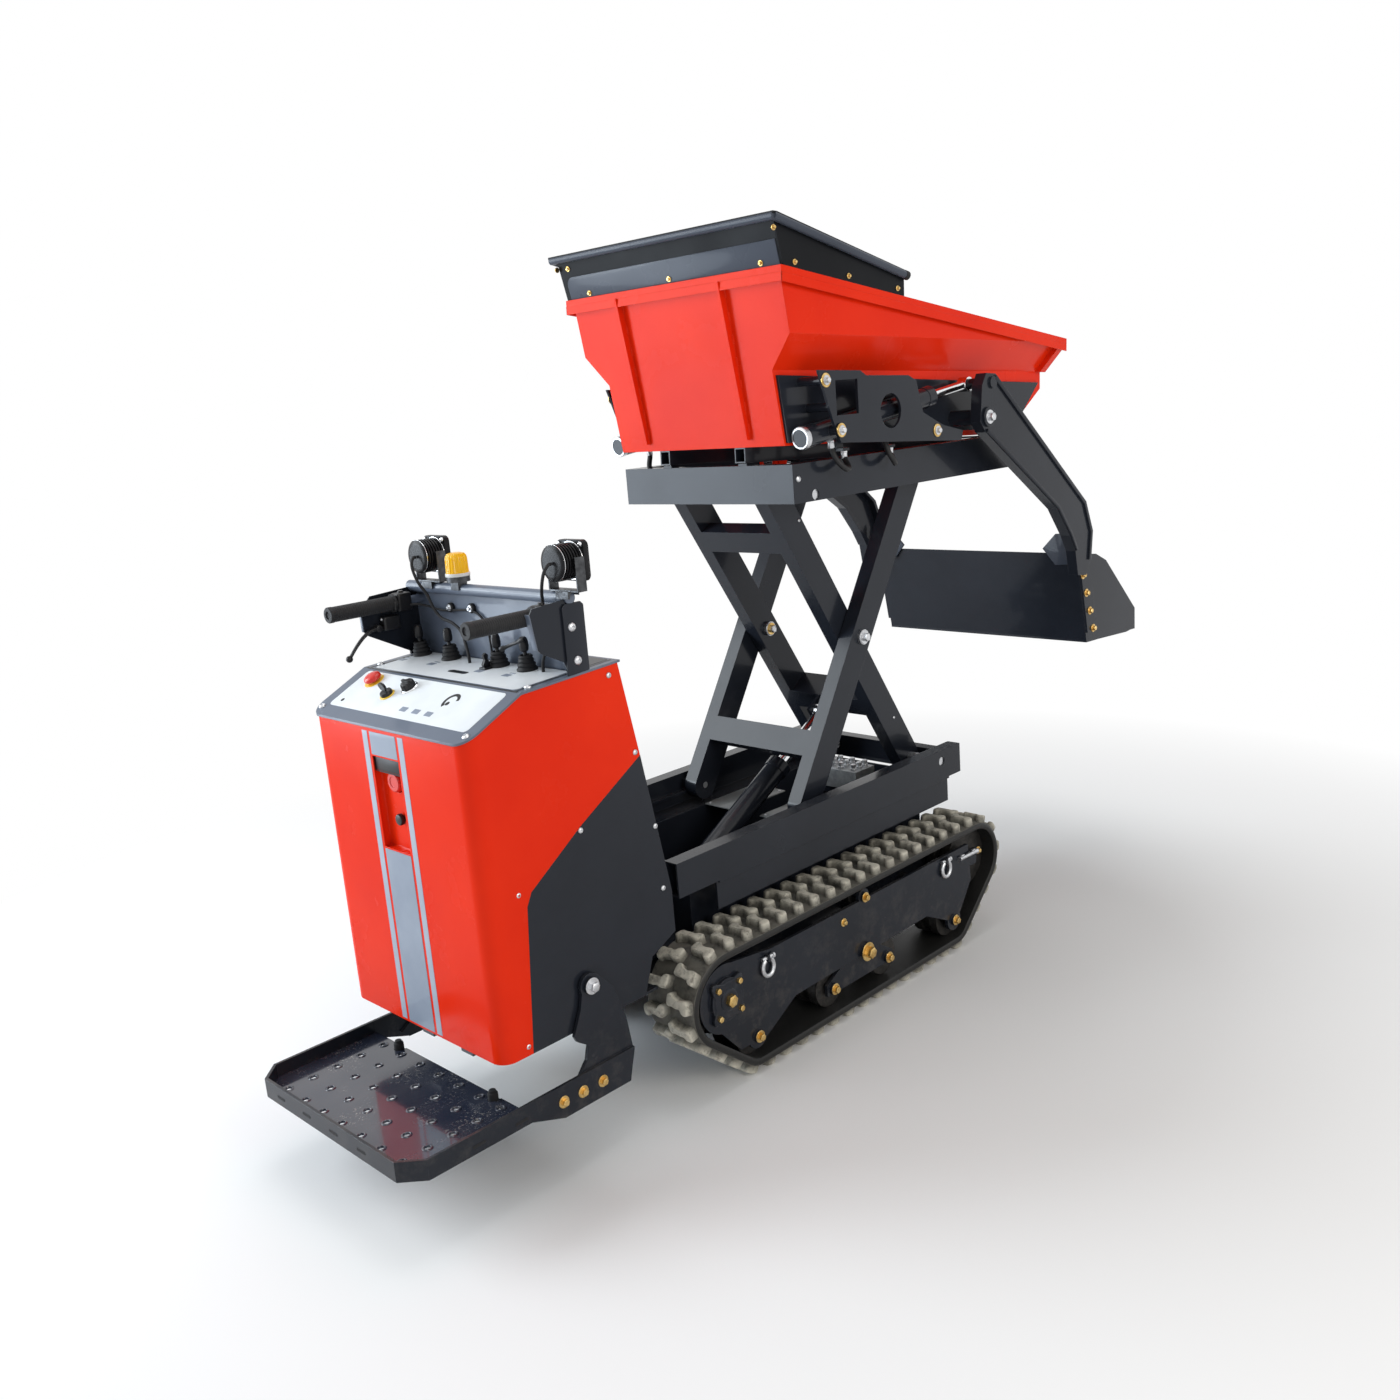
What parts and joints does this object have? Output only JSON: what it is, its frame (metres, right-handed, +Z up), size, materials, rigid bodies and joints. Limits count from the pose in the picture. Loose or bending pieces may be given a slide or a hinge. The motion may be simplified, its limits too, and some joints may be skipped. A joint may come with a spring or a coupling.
{
  "type": "tracked power carrier",
  "caption": "Tracked power carrier with a scissor lift under a tipping skip, a self-loading shovel on side arms and a rear operator console with a fold-up platform.",
  "frame": {"origin": "on the ground, in the middle of the overall box", "axes": "+X forward to the shovel, +Y to the left, +Z up"},
  "size_m": [3.24, 0.929, 2.2463],
  "materials": {
    "anthracite_paint": "gloss",
    "red_paint": "gloss",
    "dash_paint": "satin",
    "track_rubber": "matte",
    "black_rubber": "matte",
    "cast_wheels": "matte",
    "zinc_steel": "satin",
    "chrome_rod": "polished",
    "cast_aluminium": "matte",
    "red_plastic": "satin",
    "black_plastic": "satin",
    "lamp_aluminium": "matte",
    "amber_plastic": "clear"
  },
  "bodies": {
    "chassis": {"chassis_frame": "anthracite_paint", "track_frame_right": "anthracite_paint", "track_frame_left": "anthracite_paint", "track_right": "track_rubber", "track_left": "track_rubber", "shackles": "zinc_steel", "drive_motors": "anthracite_paint", "engine": "cast_aluminium", "fuel_tank": "red_plastic", "battery": "black_plastic", "valve_bank": "cast_aluminium", "console_cover": "red_paint", "console_panels": "anthracite_paint", "dash_plate": "dash_paint", "bar_panel": "anthracite_paint", "grips": "black_rubber", "lever_boots": "black_rubber", "lamp_brackets": "zinc_steel", "beacon": "amber_plastic", "lamp_cables": "black_rubber"},
    "platform": {"platform": "anthracite_paint", "tread_plate": "anthracite_paint", "bumpers": "black_rubber"},
    "inner_arms": {"inner_arms": "anthracite_paint", "arm_pins": "zinc_steel"},
    "outer_arms": {"outer_arms": "anthracite_paint", "arm_rollers": "zinc_steel"},
    "skip": {"skip": "red_paint", "skip_bearers": "anthracite_paint", "guard": "anthracite_paint", "loader_plates": "anthracite_paint"},
    "shovel": {"loader_arms": "anthracite_paint", "shovel": "anthracite_paint"},
    "loader_barrels": {"loader_barrels": "anthracite_paint", "loader_hoses": "black_rubber"},
    "sprocket_right": {"sprocket_right": "cast_wheels"},
    "sprocket_left": {"sprocket_left": "cast_wheels"},
    "idlers": {"idlers": "cast_wheels"},
    "roller_1": {"roller_1": "cast_wheels"},
    "roller_2": {"roller_2": "cast_wheels"},
    "roller_3": {"roller_3": "cast_wheels"},
    "roller_4": {"roller_4": "cast_wheels"},
    "carrier_rollers": {"carrier_rollers": "cast_wheels"},
    "tank_cap": {"tank_cap": "red_plastic"},
    "brake_lever": {"brake_lever": "black_plastic"},
    "lever_1": {"lever_1": "black_plastic"},
    "lever_2": {"lever_2": "black_plastic"},
    "lever_3": {"lever_3": "black_plastic"},
    "lever_4": {"lever_4": "black_plastic"},
    "e_stop": {"e_stop": "red_plastic"},
    "key": {"key": "zinc_steel"},
    "rotary_knob": {"rotary_knob": "black_plastic"},
    "lamp_right": {"lamp_right": "lamp_aluminium"},
    "lamp_left": {"lamp_left": "lamp_aluminium"},
    "lift_barrel": {"lift_barrel": "anthracite_paint"},
    "lift_rod": {"lift_rod": "chrome_rod"},
    "upper_frame": {"upper_frame": "anthracite_paint"},
    "tip_barrel": {"tip_barrel": "anthracite_paint"},
    "tip_rod": {"tip_rod": "chrome_rod"},
    "loader_rods": {"loader_rods": "chrome_rod"}
  },
  "joints": [
    {"name": "lift", "type": "hinge", "parent": "chassis", "child": "inner_arms", "pos_m": [0.488, 0, 0.612], "axis": [0, 1, 0], "range_deg": [-46.7, 0]},
    {"name": "outer_swing", "type": "hinge", "parent": "inner_arms", "child": "outer_arms", "pos_m": [0.19731, 0, 1.07182], "axis": [0, 1, 0], "range_deg": [-1, 94.4]},
    {"name": "upper_level", "type": "hinge", "parent": "inner_arms", "child": "upper_frame", "pos_m": [-0.09338, 0, 1.53164], "axis": [0, 1, 0], "range_deg": [-1, 47.7]},
    {"name": "lift_barrel_swing", "type": "hinge", "parent": "chassis", "child": "lift_barrel", "pos_m": [-0.384, 0, 0.43], "axis": [0, 1, 0], "range_deg": [-1, 15.68]},
    {"name": "lift_rod_slide", "type": "slide", "parent": "lift_barrel", "child": "lift_rod", "axis": [0.8765, 0, 0.4814], "range_m": [-0.1396, 0.002]},
    {"name": "tip", "type": "hinge", "parent": "upper_frame", "child": "skip", "pos_m": [0.961, 0, 1.634], "axis": [0, 1, 0], "range_deg": [0, 50]},
    {"name": "tip_barrel_swing", "type": "hinge", "parent": "upper_frame", "child": "tip_barrel", "pos_m": [0.796, 0, 1.545], "axis": [0, 1, 0], "range_deg": [-1, 56.7]},
    {"name": "tip_rod_slide", "type": "slide", "parent": "tip_barrel", "child": "tip_rod", "axis": [-0.9952, 0, 0.0981], "range_m": [-0.002, 0.1418]},
    {"name": "load", "type": "hinge", "parent": "skip", "child": "shovel", "pos_m": [0.586, 0, 1.691], "axis": [0, -1, 0], "range_deg": [0, 110]},
    {"name": "loader_barrel_swing", "type": "hinge", "parent": "skip", "child": "loader_barrels", "pos_m": [-0.082, 0, 1.701], "axis": [0, 1, 0], "range_deg": [-1, 10.18]},
    {"name": "loader_rod_slide", "type": "slide", "parent": "loader_barrels", "child": "loader_rods", "axis": [0.9917, 0, 0.1282], "range_m": [-0.1391, 0.002]},
    {"name": "platform_fold", "type": "hinge", "parent": "chassis", "child": "platform", "pos_m": [-1.061, 0, 0.454], "axis": [0, 1, 0], "range_deg": [0, 65]},
    {"name": "lever_1_tilt", "type": "hinge", "parent": "chassis", "child": "lever_1", "pos_m": [-1.01565, 0.28, 1.22442], "axis": [0, 1, 0], "range_deg": [-12, 12], "stiffness_Nm_per_rad": 1},
    {"name": "lever_2_tilt", "type": "hinge", "parent": "chassis", "child": "lever_2", "pos_m": [-1.01565, 0.146, 1.22442], "axis": [0, 1, 0], "range_deg": [-12, 12], "stiffness_Nm_per_rad": 1},
    {"name": "lever_3_tilt", "type": "hinge", "parent": "chassis", "child": "lever_3", "pos_m": [-1.01565, -0.059, 1.22442], "axis": [0, 1, 0], "range_deg": [-12, 12], "stiffness_Nm_per_rad": 1},
    {"name": "lever_4_tilt", "type": "hinge", "parent": "chassis", "child": "lever_4", "pos_m": [-1.01565, -0.17, 1.22442], "axis": [0, 1, 0], "range_deg": [-12, 12], "stiffness_Nm_per_rad": 1},
    {"name": "brake", "type": "hinge", "parent": "chassis", "child": "brake_lever", "pos_m": [-1.118, 0.31, 1.3], "axis": [0, 1, 0], "range_deg": [0, 20], "stiffness_Nm_per_rad": 2},
    {"name": "stop_press", "type": "slide", "parent": "chassis", "child": "e_stop", "axis": [0.4341, 0, -0.9008], "range_m": [0, 0.005], "stiffness_N_per_m": 2000},
    {"name": "key_turn", "type": "hinge", "parent": "chassis", "child": "key", "pos_m": [-1.235, 0.111, 1.16889], "axis": [-0.4341, 0, 0.9008], "range_deg": [0, 90]},
    {"name": "rotary_turn", "type": "hinge", "parent": "chassis", "child": "rotary_knob", "pos_m": [-1.202, 0.06, 1.18479], "axis": [-0.4341, 0, 0.9008], "range_deg": [-60, 60]},
    {"name": "lamp_right_tilt", "type": "hinge", "parent": "chassis", "child": "lamp_right", "pos_m": [-0.992, -0.326, 1.476], "axis": [0, 1, 0], "range_deg": [-10, 10]},
    {"name": "lamp_left_tilt", "type": "hinge", "parent": "chassis", "child": "lamp_left", "pos_m": [-0.992, 0.222, 1.476], "axis": [0, 1, 0], "range_deg": [-10, 10]},
    {"name": "cap_turn", "type": "hinge", "parent": "chassis", "child": "tank_cap", "pos_m": [-1.327, 0, 0.985], "axis": [1, 0, 0], "continuous": true},
    {"name": "sprocket_right_spin", "type": "hinge", "parent": "chassis", "child": "sprocket_right", "pos_m": [-0.648, 0, 0.262], "axis": [0, 1, 0], "continuous": true},
    {"name": "sprocket_left_spin", "type": "hinge", "parent": "chassis", "child": "sprocket_left", "pos_m": [-0.648, 0, 0.262], "axis": [0, 1, 0], "continuous": true},
    {"name": "idlers_spin", "type": "hinge", "parent": "chassis", "child": "idlers", "pos_m": [0.548, 0, 0.274], "axis": [0, 1, 0], "continuous": true},
    {"name": "roller_1_spin", "type": "hinge", "parent": "chassis", "child": "roller_1", "pos_m": [-0.534, 0, 0.104], "axis": [0, 1, 0], "continuous": true},
    {"name": "roller_2_spin", "type": "hinge", "parent": "chassis", "child": "roller_2", "pos_m": [-0.192, 0, 0.104], "axis": [0, 1, 0], "continuous": true},
    {"name": "roller_3_spin", "type": "hinge", "parent": "chassis", "child": "roller_3", "pos_m": [0.072, 0, 0.104], "axis": [0, 1, 0], "continuous": true},
    {"name": "roller_4_spin", "type": "hinge", "parent": "chassis", "child": "roller_4", "pos_m": [0.421, 0, 0.104], "axis": [0, 1, 0], "continuous": true},
    {"name": "carriers_spin", "type": "hinge", "parent": "chassis", "child": "carrier_rollers", "pos_m": [-0.041, 0, 0.343], "axis": [0, 1, 0], "continuous": true}
  ],
  "couplings": [
    {"joint": "outer_swing", "follows": "lift", "ratio": -2},
    {"joint": "upper_level", "follows": "lift", "ratio": -1},
    {"joint": "lift_barrel_swing", "follows": "lift", "ratio": -0.31441},
    {"joint": "lift_rod_slide", "follows": "lift", "m_per_rad": 0.16883},
    {"joint": "tip_barrel_swing", "follows": "tip", "ratio": 1.1139},
    {"joint": "tip_rod_slide", "follows": "tip", "m_per_rad": 0.16025},
    {"joint": "loader_barrel_swing", "follows": "load", "ratio": 0.083486},
    {"joint": "loader_rod_slide", "follows": "load", "m_per_rad": -0.071389}
  ]
}
